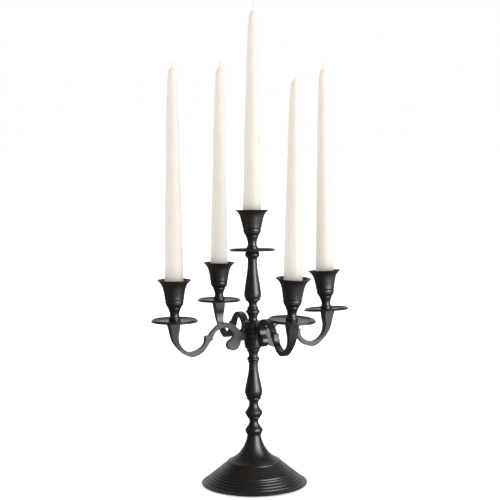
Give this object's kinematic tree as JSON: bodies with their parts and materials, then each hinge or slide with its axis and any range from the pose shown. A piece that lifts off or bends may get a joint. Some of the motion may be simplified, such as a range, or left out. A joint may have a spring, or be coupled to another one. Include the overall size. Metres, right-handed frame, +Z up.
{
  "type": "candelabra",
  "caption": "Tabletop candelabra: turned stem on a domed base, paired scroll arms, drip pans and flared cups holding ivory taper candles.",
  "frame": {"origin": "centre of the base's underside, on the table", "axes": "+Z up along the stem; the lower double arm lies along X and the upper double arm along Y"},
  "size_m": [0.2576, 0.2576, 0.5752],
  "materials": {
    "black_metal": "satin",
    "hardware": "satin",
    "felt": "matte",
    "wax": "satin",
    "wick": "matte"
  },
  "bodies": {
    "root": {"base_dome": "black_metal", "base_felt": "felt", "base_washer": "hardware", "base_nut": "hardware", "tie_rod": "hardware", "lower_column": "black_metal", "upper_column": "black_metal", "centre_stud": "hardware", "centre_pan": "black_metal", "centre_cup": "black_metal"},
    "lower_arms": {"lower_double_arm": "black_metal", "lower_pan_a": "black_metal", "lower_pan_b": "black_metal", "lower_cup_a": "black_metal", "lower_cup_b": "black_metal", "lower_stud_a": "hardware", "lower_stud_b": "hardware"},
    "upper_arms": {"upper_double_arm": "black_metal", "upper_pan_a": "black_metal", "upper_pan_b": "black_metal", "upper_cup_a": "black_metal", "upper_cup_b": "black_metal", "upper_stud_a": "hardware", "upper_stud_b": "hardware"},
    "centre_candle_body": {"centre_candle": "wax", "centre_wick": "wick"},
    "lower_a_candle_body": {"lower_candle_a": "wax", "lower_wick_a": "wick"},
    "lower_b_candle_body": {"lower_candle_b": "wax", "lower_wick_b": "wick"},
    "upper_a_candle_body": {"upper_candle_a": "wax", "upper_wick_a": "wick"},
    "upper_b_candle_body": {"upper_candle_b": "wax", "upper_wick_b": "wick"}
  },
  "joints": [
    {"name": "lower_arms_swivel", "type": "hinge", "parent": "root", "child": "lower_arms", "pos_m": [0, 0, 0.178], "axis": [0, 0, 1], "continuous": true},
    {"name": "upper_arms_swivel", "type": "hinge", "parent": "lower_arms", "child": "upper_arms", "pos_m": [0, 0, 0.19], "axis": [0, 0, 1], "range_deg": [-55, 55]},
    {"name": "centre_candle_lift", "type": "slide", "parent": "root", "child": "centre_candle_body", "axis": [0.0118, -0.0056, 0.9999], "range_m": [0, 0.06]},
    {"name": "lower_a_candle_lift", "type": "slide", "parent": "lower_arms", "child": "lower_a_candle_body", "axis": [0.0038, -0.0018, 1], "range_m": [0, 0.06]},
    {"name": "lower_b_candle_lift", "type": "slide", "parent": "lower_arms", "child": "lower_b_candle_body", "axis": [-0.0032, 0.0015, 1], "range_m": [0, 0.06]},
    {"name": "upper_a_candle_lift", "type": "slide", "parent": "upper_arms", "child": "upper_a_candle_body", "axis": [0.0158, -0.0075, 0.9998], "range_m": [0, 0.06]},
    {"name": "upper_b_candle_lift", "type": "slide", "parent": "upper_arms", "child": "upper_b_candle_body", "axis": [0.0134, -0.0064, 0.9999], "range_m": [0, 0.06]}
  ]
}
